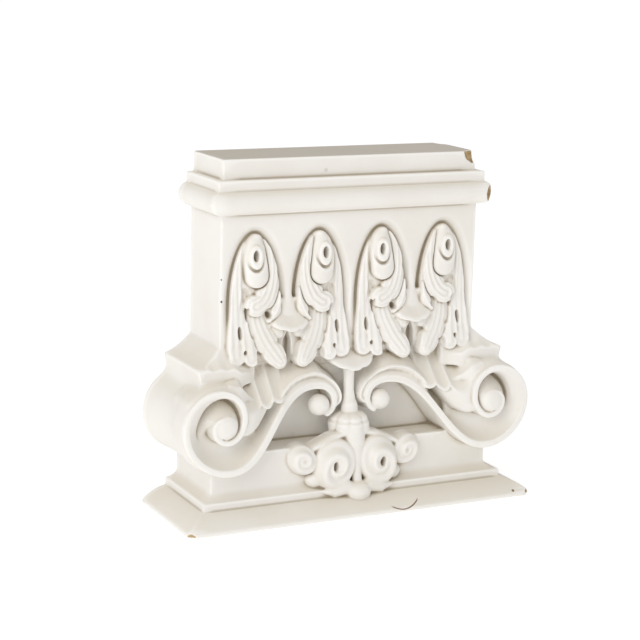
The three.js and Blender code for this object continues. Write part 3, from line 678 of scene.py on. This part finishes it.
def add_rosette():
    """Rosette on the abacus: a rolled sheet behind, the stalk, two big curls, side curls and petals."""
    z = ROSETTE_Z
    w = Window(-1, 70, 2, 26, 40, 92)
    fan = [(-6, 84), (12, 82), (26, 79), (40, 73), (54, 67), (60, 60), (52, 48), (-6, 46)]
    edge = polygon_distance(w.x2, w.z2, fan)
    rolled = 3.2 * np.exp(-((edge + 3.4) / 2.4) ** 2)
    w.add(w.sheet(DIE_OUT + 3.4 + rolled, edge, None, 2.5), 1.5)
    curl(59.0, z + 8.0, 16.0, 16.5, DIE_OUT, 12.5, 1.6, 0.9, -0.15)
    add_ball((43.0, DIE_OUT + 1.0, z - 14.0), (11.0, 9.0, 9.0), 1.5)
    add_cord([(0.0, DIE_OUT - 4.0, z + 32.0, 14.0), (0.0, DIE_OUT + 1.0, z + 20.0, 12.0),
              (0.0, DIE_OUT + 6.0, z + 6.0, 8.0), (0.0, DIE_OUT + 9.0, z - 8.0, 5.0),
              (0.0, DIE_OUT + 12.0, z - 22.0, 5.0)], 0.8)
    curl(25.0, z, 24.5, 28.0, DIE_OUT, 20.0, 1.7, 1.3, 0.10)
    cut_ball((27.0, DIE_OUT + 18.0, z + 1.0), (3.0, 11.0, 5.4), 1.0)
    add_cord([(12.0, DIE_OUT + 12.0, z - 23.0, 7.5), (26.0, DIE_OUT + 12.5, z - 26.0, 6.0),
              (39.5, DIE_OUT + 13.5, z - 24.5, 1.6)], 1.5)
    add_ball((0.0, DIE_OUT + 14.0, z - 28.0), (13.5, 11.5, 11.0), 2.0)


def chip_field(whole, all_x):
    """Chips that the cast has lost, which differ from side to side."""
    def bite(x, out, z, radii):
        """Take a rough ellipsoid out of the cast."""
        sx = slice(*np.searchsorted(all_x, (x - radii[0] - 3, x + radii[0] + 3)))
        so = slice(*np.searchsorted(outs, (out - radii[1] - 3, out + radii[1] + 3)))
        sz = slice(*np.searchsorted(zs, (z - radii[2] - 3, z + radii[2] + 3)))
        gx = all_x[sx][:, None, None] - x
        go = outs[so][None, :, None] - out
        gz = zs[sz][None, None, :] - z
        rough = 0.6 * np.sin(gx * 1.3 + gz * 0.9) * np.cos(go * 1.1 - gz * 0.7)
        near = np.sqrt((gx / radii[0]) ** 2 + (go / radii[1]) ** 2 + (gz / radii[2]) ** 2)
        whole[sx, so, sz] = np.maximum(whole[sx, so, sz], (1.0 - near) * min(radii) + rough)

    top_edge = WALL_HALF + BLOCK_OUT
    abacus_edge = WALL_HALF + ABACUS_OUT
    bite(top_edge + 3, BACK_OUT + 6, TOP_Z + 5, (13, 18, 8))
    bite(top_edge + 3, 2.0, TOP_Z, (18, 12, 15))
    bite(WALL_HALF + 15.0, 16.0, WALL_Z + 11, (11, 11, 13))
    bite(-abacus_edge - 1, ABACUS_OUT + 1, 1, (8, 8, 5))
    bite(abacus_edge + 1, ABACUS_OUT + 1, 3, (9, 9, 8))


def surface_net(values, axes):
    """Vertices and quads where the field changes sign, one vertex for each cell that it passes through."""
    shape = tuple(n - 1 for n in values.shape)
    inside = values < 0
    count = np.zeros(shape, np.int8)
    corners = [(i, j, k) for i in (0, 1) for j in (0, 1) for k in (0, 1)]
    for i, j, k in corners:
        count += inside[i:i + shape[0], j:j + shape[1], k:k + shape[2]]
    cells = np.nonzero((count > 0) & (count < 8))
    number = np.full(shape, -1, np.int32)
    number[cells] = np.arange(len(cells[0]), dtype=np.int32)
    total = np.zeros((len(cells[0]), 3))
    hits = np.zeros(len(cells[0]))
    for a in corners:
        for axis in range(3):
            if a[axis]:
                continue
            b = list(a)
            b[axis] = 1
            va = values[cells[0] + a[0], cells[1] + a[1], cells[2] + a[2]]
            vb = values[cells[0] + b[0], cells[1] + b[1], cells[2] + b[2]]
            crosses = (va < 0) != (vb < 0)
            t = np.where(crosses, va / np.where(crosses, va - vb, 1.0), 0.0)
            local = np.array(a, float)[None, :] * crosses[:, None]
            local[:, axis] += t
            total += local
            hits += crosses
    local = total / hits[:, None]
    points = np.stack([axes[n][cells[n]] + local[:, n] * (axes[n][cells[n] + 1] - axes[n][cells[n]])
                       for n in range(3)], axis=1)
    quads = []
    for axis in range(3):
        others = [n for n in range(3) if n != axis]
        low = [slice(1, -1)] * 3
        low[axis] = slice(0, -1)
        high = list(low)
        high[axis] = slice(1, None)
        start, stop = inside[tuple(low)], inside[tuple(high)]
        at = list(np.nonzero(start != stop))
        leaving = start[tuple(at)]
        for n in others:
            at[n] = at[n] + 1
        ring = []
        for du, dv in ((-1, -1), (0, -1), (0, 0), (-1, 0)):
            place = [a.copy() for a in at]
            place[others[0]] += du
            place[others[1]] += dv
            ring.append(number[tuple(place)])
        quad = np.stack(ring, axis=1)
        flip = leaving if axis == 1 else ~leaving
        quad[flip] = quad[flip][:, ::-1]
        quads.append(quad)
    return points, np.vstack(quads)


def smoothed(values):
    """Field with its hardest edges softened a little over x and z, as paint and casting do."""
    for axis in (0, 2):
        places = np.arange(values.shape[axis])
        low = np.take(values, np.maximum(places - 1, 0), axis=axis)
        high = np.take(values, np.minimum(places + 1, len(places) - 1), axis=axis)
        values = 0.25 * low + 0.5 * values + 0.25 * high
    return values


def mesh_from(points, quads, name):
    """Object in the scene with a mesh of these points and quads."""
    mesh = bpy.data.meshes.new(name)
    mesh.vertices.add(len(points))
    mesh.vertices.foreach_set("co", points.astype(np.float32).ravel())
    mesh.loops.add(quads.size)
    mesh.loops.foreach_set("vertex_index", quads.astype(np.int32).ravel())
    mesh.polygons.add(len(quads))
    mesh.polygons.foreach_set("loop_start", np.arange(0, quads.size, 4, dtype=np.int32))
    mesh.update(calc_edges=True)
    mesh.validate()
    piece = bpy.data.objects.new(name, mesh)
    bpy.context.scene.collection.objects.link(piece)
    return piece


# The order matters: what is cut or added later shapes what lies there already
field = make_block().astype(np.float32)
cut_bell()
cut_niches()
drooping_tip(axis=0.0, half=26.0, out=19.0, low=143.0, curl=9.0, length=19.0)
for axis, direction in UPPER_AXES:
    upper_half_leaf(axis, direction)
leaf_strips()
drooping_tip(axis=LOWER_AXIS, half=22.0, out=16.5, low=188.0, curl=7.0, length=19.0)
for direction in (-1, 1):
    lower_half_leaf(LOWER_AXIS, direction)
eye_rings()
add_lip()
add_shoulder()
add_scroll_band()
add_big_coil()
add_calyx()
add_ball((SMALL_CENTRE[0] + 0.5, 2.5, SMALL_CENTRE[1] - 0.5), (11.0, 11.0, 11.0), 0.6)
add_stem_and_bud()
add_rosette()
leaf_holes()


# The back is one flat face
np.maximum(field, (BACK_OUT - outs)[None, :, None], out=field)
all_x = np.concatenate([-xs[::-1], xs])
whole = np.concatenate([field[::-1], field], axis=0)
intact = smoothed(whole)
chip_field(whole, all_x)
whole = smoothed(whole)
points, quads = surface_net(whole, (all_x, outs, zs))
points = np.stack([points[:, 0], WALL_Y - points[:, 1], points[:, 2]], axis=1) / 1000.0
cast = mesh_from(points, quads, "capital_cast")

thin = cast.modifiers.new("thin", "DECIMATE")
thin.ratio = min(1.0, MOST_TRIANGLES / (2.0 * len(quads)))
bpy.context.view_layer.objects.active = cast
cast.select_set(True)
bpy.ops.object.modifier_apply(modifier=thin.name)

# The flats are split into smaller faces again, since the hollow depths for the dirt, painted shade and
# painted highlight are kept at the vertices
work = bmesh.new()
work.from_mesh(cast.data)
for _ in range(4):
    long_edges = [edge for edge in work.edges if edge.calc_length() > LONGEST_EDGE]
    bmesh.ops.subdivide_edges(work, edges=long_edges, cuts=1)
    bmesh.ops.triangulate(work, faces=[face for face in work.faces if len(face.verts) > 3])
work.to_mesh(cast.data)
work.free()
cast.data.polygons.foreach_set("use_smooth", np.ones(len(cast.data.polygons), bool))
cast.data.set_sharp_from_angle(angle=math.radians(SHARP_ANGLE))
cast.data.update()

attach(cast, "root")
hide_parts("pilaster_capital")


def sampled(values, spots):
    """Values of the field at the mesh's vertices, in grid units between the nearest nodes."""
    index, part = [], []
    for axis, ticks in enumerate((all_x, outs, zs)):
        cell = np.clip(np.searchsorted(ticks, spots[:, axis]) - 1, 0, len(ticks) - 2)
        index.append(cell)
        part.append(np.clip((spots[:, axis] - ticks[cell]) / (ticks[cell + 1] - ticks[cell]), 0.0, 1.0))
    total = 0.0
    for i in (0, 1):
        for j in (0, 1):
            for k in (0, 1):
                weight = ((part[0] if i else 1 - part[0]) * (part[1] if j else 1 - part[1])
                          * (part[2] if k else 1 - part[2]))
                total = total + weight * values[index[0] + i, index[1] + j, index[2] + k]
    return total


def blurred(values, reach):
    """Running mean of the field over a box, which is low in hollows and high on ridges."""
    for axis in (0, 1, 2):
        count = max(1, int(round(reach / STEP)))
        sums = np.cumsum(values, axis=axis, dtype=np.float32)
        places = np.arange(values.shape[axis])
        high = np.minimum(places + count, len(places) - 1)
        low = places - count - 1
        upper = np.take(sums, high, axis=axis)
        lower = np.take(sums, np.maximum(low, 0), axis=axis)
        shape = [1, 1, 1]
        shape[axis] = len(places)
        lower = lower * (low >= 0).reshape(shape)
        present = (high - np.maximum(low, -1)).reshape(shape)
        values = (upper - lower + AIR * (2 * count + 1 - present)) / (2 * count + 1)
    return values


def paint_attributes():
    """Depth of the hollows and the bare chips, kept on the mesh for its material."""
    spots = np.empty(len(cast.data.vertices) * 3, np.float32)
    cast.data.vertices.foreach_get("co", spots)
    spots = spots.reshape(-1, 3) * 1000.0
    spots = np.stack([spots[:, 0], WALL_Y - spots[:, 1], spots[:, 2]], axis=1)
    local = 2.0 * np.tanh(whole / 2.0)
    off_back = ease((spots[:, 1] - BACK_OUT) / 5.0)
    hollow = np.clip(-sampled(blurred(local, HOLLOW_REACH), spots) / 0.85, -1.0, 1.0) * off_back
    deep = np.clip(-sampled(blurred(local, DEEP_REACH), spots) / 1.3, -1.0, 1.0)
    bare = np.clip((sampled(whole, spots) - sampled(intact, spots)) / 0.8 - 0.4, 0.0, 1.0)
    for name, value in (("hollow", hollow), ("deep", deep), ("bare", bare)):
        cast.data.attributes.new(name, "FLOAT", "POINT").data.foreach_set("value", value.astype(np.float32))


def plaster_material():
    """Off-white paint on plaster, tan from dust and painted shade on up-facing faces and the top, dirt and
    painted shade in the hollows, darker painted shade in undercuts, a painted highlight on ridges, brown
    where it's chipped.
    """
    material = bpy.data.materials.new("painted_plaster")
    material.use_nodes = True
    nodes, links = material.node_tree.nodes, material.node_tree.links
    shader = nodes["Principled BSDF"]

    def node(kind, **settings):
        made = nodes.new(kind)
        for key, value in settings.items():
            setattr(made, key, value)
        return made

    def attribute(name):
        return node("ShaderNodeAttribute", attribute_name=name).outputs["Fac"]

    def ramp(source, low, high, to_low=0.0, to_high=1.0):
        made = node("ShaderNodeMapRange", interpolation_type="SMOOTHSTEP")
        for key, value in (("From Min", low), ("From Max", high), ("To Min", to_low), ("To Max", to_high)):
            made.inputs[key].default_value = value
        links.new(source, made.inputs["Value"])
        return made.outputs["Result"]

    def blend(amount, first, second):
        made = node("ShaderNodeMix", data_type="RGBA")
        links.new(amount, made.inputs["Factor"])
        for socket, value in ((6, first), (7, second)):
            if isinstance(value, tuple):
                made.inputs[socket].default_value = value
            else:
                links.new(value, made.inputs[socket])
        return made.outputs[2]

    def calc(operation, first, second=0.0):
        made = node("ShaderNodeMath", operation=operation)
        for socket, value in ((0, first), (1, second)):
            if isinstance(value, float):
                made.inputs[socket].default_value = value
            else:
                links.new(value, made.inputs[socket])
        return made.outputs["Value"]

    def times(first, second):
        return calc("MULTIPLY", first, second)

    def noise(scale, detail, rough):
        made = node("ShaderNodeTexNoise")
        made.inputs["Scale"].default_value = scale
        made.inputs["Detail"].default_value = detail
        made.inputs["Roughness"].default_value = rough
        links.new(spot, made.inputs["Vector"])
        return made.outputs["Fac"]

    spot = node("ShaderNodeTexCoord").outputs["Object"]
    facing = node("ShaderNodeSeparateXYZ")
    links.new(node("ShaderNodeNewGeometry").outputs["Normal"], facing.inputs["Vector"])
    clouds = noise(9.0, 4.0, 0.55)
    grain = noise(160.0, 3.0, 0.6)
    paint_colour = blend(ramp(clouds, 0.35, 0.7), *PAINT)
    # Up-facing faces are tinted tan, partly for dust and partly as painted shade, since they catch less light
    dust_and_shade = times(ramp(facing.outputs["Z"], 0.3, 0.95), ramp(clouds, 0.2, 0.6, 0.6, 1.0))
    colour = blend(times(dust_and_shade, 0.42), paint_colour, DUST_AND_SHADE)
    # The hollows are tinted tan and brown, partly for dirt and partly as painted shade where less light
    # reaches
    colour = blend(times(ramp(attribute("deep"), 0.2, 0.9), 0.36), colour, WIDE_HOLLOW_DIRT_AND_SHADE)
    colour = blend(times(ramp(attribute("hollow"), 0.12, 0.8), 0.48), colour, NARROW_HOLLOW_DIRT_AND_SHADE)
    # Painted shade: dark brown where a narrow hollow lies inside a wide one, under overhangs and in crevices
    undercut = times(ramp(attribute("hollow"), 0.35, 0.9), ramp(attribute("deep"), 0.15, 0.7))
    colour = blend(times(undercut, 0.55), colour, UNDERCUT_SHADE)
    # Painted highlight: ridges and edges are made whiter than the paint
    colour = blend(times(ramp(attribute("hollow"), -0.12, -0.55), 0.6), colour, PAINTED_RIDGE_HIGHLIGHT)
    colour = blend(attribute("bare"), colour, blend(ramp(grain, 0.3, 0.7), *BARE))
    place = node("ShaderNodeSeparateXYZ")
    links.new(spot, place.inputs["Vector"])
    # The top face is darkened, partly for dirt and partly as painted shade, since light grazes it
    top_dirt_and_shade = times(ramp(place.outputs["Z"], 0.3575, 0.3592), ramp(facing.outputs["Z"], 0.7, 0.95))
    colour = blend(times(top_dirt_and_shade, 0.7), colour, TOP_DIRT_AND_SHADE)

    def spot_mark(x, y, z, radius):
        gap = node("ShaderNodeVectorMath", operation="DISTANCE")
        links.new(spot, gap.inputs[0])
        gap.inputs[1].default_value = (x, y, z)
        return ramp(gap.outputs["Value"], radius, radius * 0.55)

    for mark, tint in MARKS:
        colour = blend(spot_mark(*mark), colour, tint)
    run = calc("DIVIDE", calc("SUBTRACT", place.outputs["X"], CRACK[0]), CRACK[1] - CRACK[0])
    off_middle = calc("ABSOLUTE", calc("SUBTRACT", run, 0.42))
    bend = calc("ADD", times(calc("POWER", off_middle, 1.8), CRACK[3]), CRACK[2])
    gap = calc("ABSOLUTE", calc("SUBTRACT", place.outputs["Z"], bend))
    on_front = ramp(place.outputs["Y"], -0.05, -0.055)
    faded = times(ramp(run, 0.0, 0.12), ramp(run, 1.0, 0.9))
    crack = times(times(ramp(gap, 0.0008, 0.0003), faded), on_front)
    colour = blend(crack, colour, CRACK_COLOUR)
    links.new(colour, shader.inputs["Base Color"])
    links.new(ramp(clouds, 0.2, 0.8, 0.5, 0.66), shader.inputs["Roughness"])
    bump = node("ShaderNodeBump")
    bump.inputs["Strength"].default_value = 0.25
    bump.inputs["Distance"].default_value = 0.0006
    links.new(grain, bump.inputs["Height"])
    links.new(bump.outputs["Normal"], shader.inputs["Normal"])
    return material


paint_attributes()
cast.data.materials.clear()
cast.data.materials.append(plaster_material())

floor_mesh = bpy.data.meshes.new("floor")
grid = bmesh.new()
bmesh.ops.create_grid(grid, x_segments=8, y_segments=8, size=30.0)
grid.to_mesh(floor_mesh)
grid.free()
floor = bpy.data.objects.new("floor", floor_mesh)
bpy.context.scene.collection.objects.link(floor)
paint = bpy.data.materials.new("floor_paint")
paint.use_nodes = True
sockets = paint.node_tree.nodes["Principled BSDF"].inputs
sockets["Base Color"].default_value = (0.9, 0.9, 0.9, 1.0)
sockets["Roughness"].default_value = 0.9
sockets["Emission Color"].default_value = (1.0, 1.0, 1.0, 1.0)
sockets["Emission Strength"].default_value = 0.34
floor_mesh.materials.append(paint)

data = bpy.data.cameras.new("camera")
camera = bpy.data.objects.new("camera", data)
bpy.context.scene.collection.objects.link(camera)
view = Vector(CAMERA_VIEW).normalized()
across = Vector((view.y, -view.x, 0.0)).normalized()
up = across.cross(view)
roll = math.radians(CAMERA_ROLL)
right = math.cos(roll) * across + math.sin(roll) * up
over = -math.sin(roll) * across + math.cos(roll) * up
camera.matrix_world = Matrix((
    (right.x, over.x, -view.x, CAMERA_PLACE[0]),
    (right.y, over.y, -view.y, CAMERA_PLACE[1]),
    (right.z, over.z, -view.z, CAMERA_PLACE[2]),
    (0.0, 0.0, 0.0, 1.0),
))
data.lens = CAMERA_LENS
data.sensor_width = 36.0
data.clip_end = 50.0
bpy.context.scene.camera = camera


# Soft key light from the upper left, and a sky that is brighter overhead than at the horizon
lamp = bpy.data.lights.new("key", "AREA")
lamp.shape = "RECTANGLE"
lamp.size, lamp.size_y = 1.8, 1.8
lamp.energy = 33.0
lamp.color = (1.0, 0.99, 0.97)
key = bpy.data.objects.new("key", lamp)
key.location = (-2.5, -1.8, 1.5)
key.rotation_euler = (Vector((0.0, 0.0, 0.2)) - key.location).to_track_quat("-Z", "Y").to_euler()
bpy.context.scene.collection.objects.link(key)
world = bpy.data.worlds.new("studio")
world.use_nodes = True
nodes, links = world.node_tree.nodes, world.node_tree.links
place = nodes.new("ShaderNodeTexCoord")
split = nodes.new("ShaderNodeSeparateXYZ")
links.new(place.outputs["Generated"], split.inputs["Vector"])
fall = nodes.new("ShaderNodeMapRange")
fall.interpolation_type = "SMOOTHSTEP"
fall.inputs["From Min"].default_value = 0.05
fall.inputs["From Max"].default_value = 0.85
fall.inputs["To Min"].default_value = 0.46
fall.inputs["To Max"].default_value = 0.85
links.new(split.outputs["Z"], fall.inputs["Value"])
links.new(fall.outputs["Result"], nodes["Background"].inputs["Strength"])
nodes["Background"].inputs["Color"].default_value = (1.0, 1.0, 1.0, 1.0)
bpy.context.scene.world = world
bpy.context.scene.view_settings.view_transform = "Standard"
